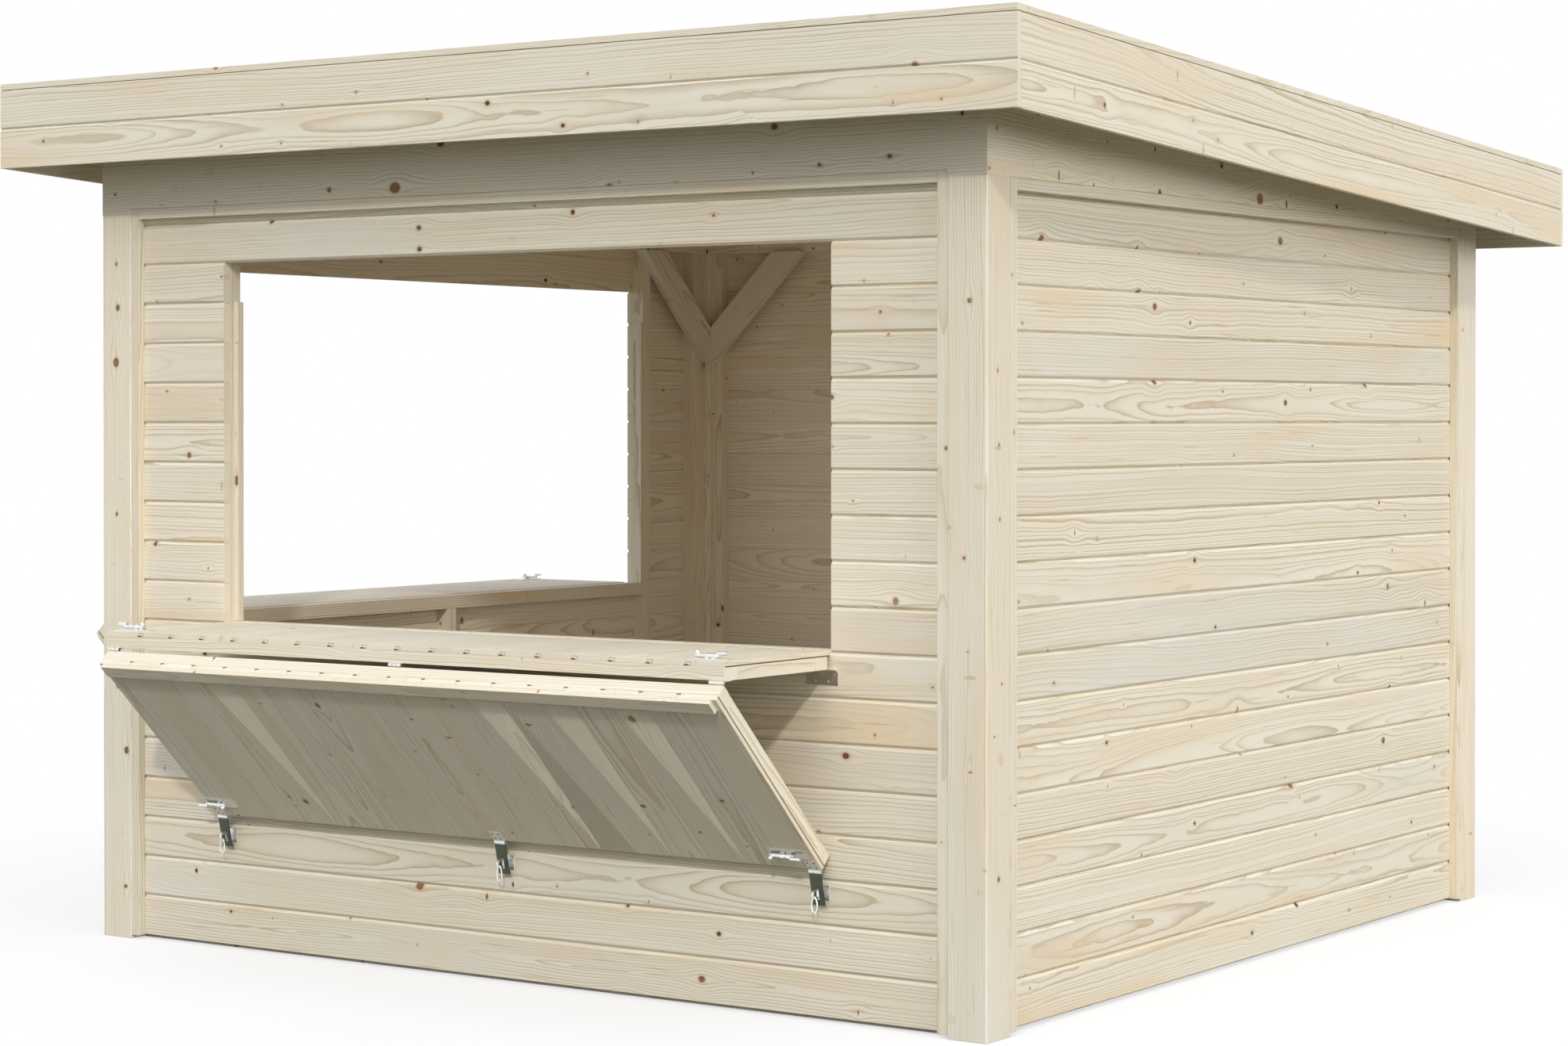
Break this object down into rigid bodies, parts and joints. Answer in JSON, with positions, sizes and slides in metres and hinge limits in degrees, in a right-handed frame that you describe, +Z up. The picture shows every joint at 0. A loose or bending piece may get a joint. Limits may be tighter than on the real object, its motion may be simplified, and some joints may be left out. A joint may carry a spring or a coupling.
{
  "type": "wooden garden pavilion",
  "caption": "Boarded timber sales kiosk with a mono-pitch roof and serving hatches, each a counter propped on a hinged flap.",
  "frame": {"origin": "on the ground, under the middle of the whole object's box", "axes": "+Z up, +X to the right along the front, +Y from the front into the room"},
  "size_m": [3.9008, 3.8808, 2.6224],
  "materials": {
    "post_wood": "planed spruce, untreated",
    "wall_wood": "planed spruce boards, untreated",
    "frame_wood": "planed spruce, untreated",
    "roof_wood": "planed spruce boards, untreated",
    "trim_wood": "planed spruce, untreated",
    "hatch_wood": "planed spruce boards, untreated",
    "zinc": "zinc-plated steel"
  },
  "bodies": {
    "base": {"post_front_left": "post_wood", "post_front_right": "post_wood", "post_back_left": "post_wood", "post_back_right": "post_wood", "beam_front": "post_wood", "beam_back": "post_wood", "beam_left": "post_wood", "beam_right": "post_wood", "front_wall_lower": "wall_wood", "front_wall_left": "wall_wood", "front_wall_right": "wall_wood", "front_wall_head": "wall_wood", "left_wall_lower": "wall_wood", "left_wall_back": "wall_wood", "left_wall_front": "wall_wood", "left_wall_head": "wall_wood", "right_wall": "wall_wood", "back_wall": "wall_wood", "front_frame": "frame_wood", "left_frame": "frame_wood", "right_frame": "frame_wood", "back_frame": "frame_wood", "corner_braces": "frame_wood", "rafters": "frame_wood", "roof_deck": "roof_wood", "cover_strips": "trim_wood", "fascia_front": "trim_wood", "fascia_back": "trim_wood", "fascia_left": "trim_wood", "fascia_right": "trim_wood", "roof_edge_strips": "trim_wood", "front_counter_boards": "hatch_wood", "front_counter_frame": "frame_wood", "front_counter_fittings": "zinc", "left_counter_boards": "hatch_wood", "left_counter_frame": "frame_wood", "left_counter_fittings": "zinc"},
    "front_flap": {"front_flap_boards": "hatch_wood", "front_flap_frame": "frame_wood", "front_flap_lath": "trim_wood", "front_flap_fittings": "zinc"},
    "left_flap": {"left_flap_boards": "hatch_wood", "left_flap_frame": "frame_wood", "left_flap_lath": "trim_wood", "left_flap_fittings": "zinc"}
  },
  "joints": [
    {"name": "front_flap_hinge", "type": "hinge", "parent": "base", "child": "front_flap", "pos_m": [0.13691, -1.89409, 0.9304], "axis": [-1, 0, 0], "range_deg": [0, 134.9]},
    {"name": "left_flap_hinge", "type": "hinge", "parent": "base", "child": "left_flap", "pos_m": [-1.90409, 0.10891, 0.9304], "axis": [0, 1, 0], "range_deg": [0, 134.9]}
  ]
}
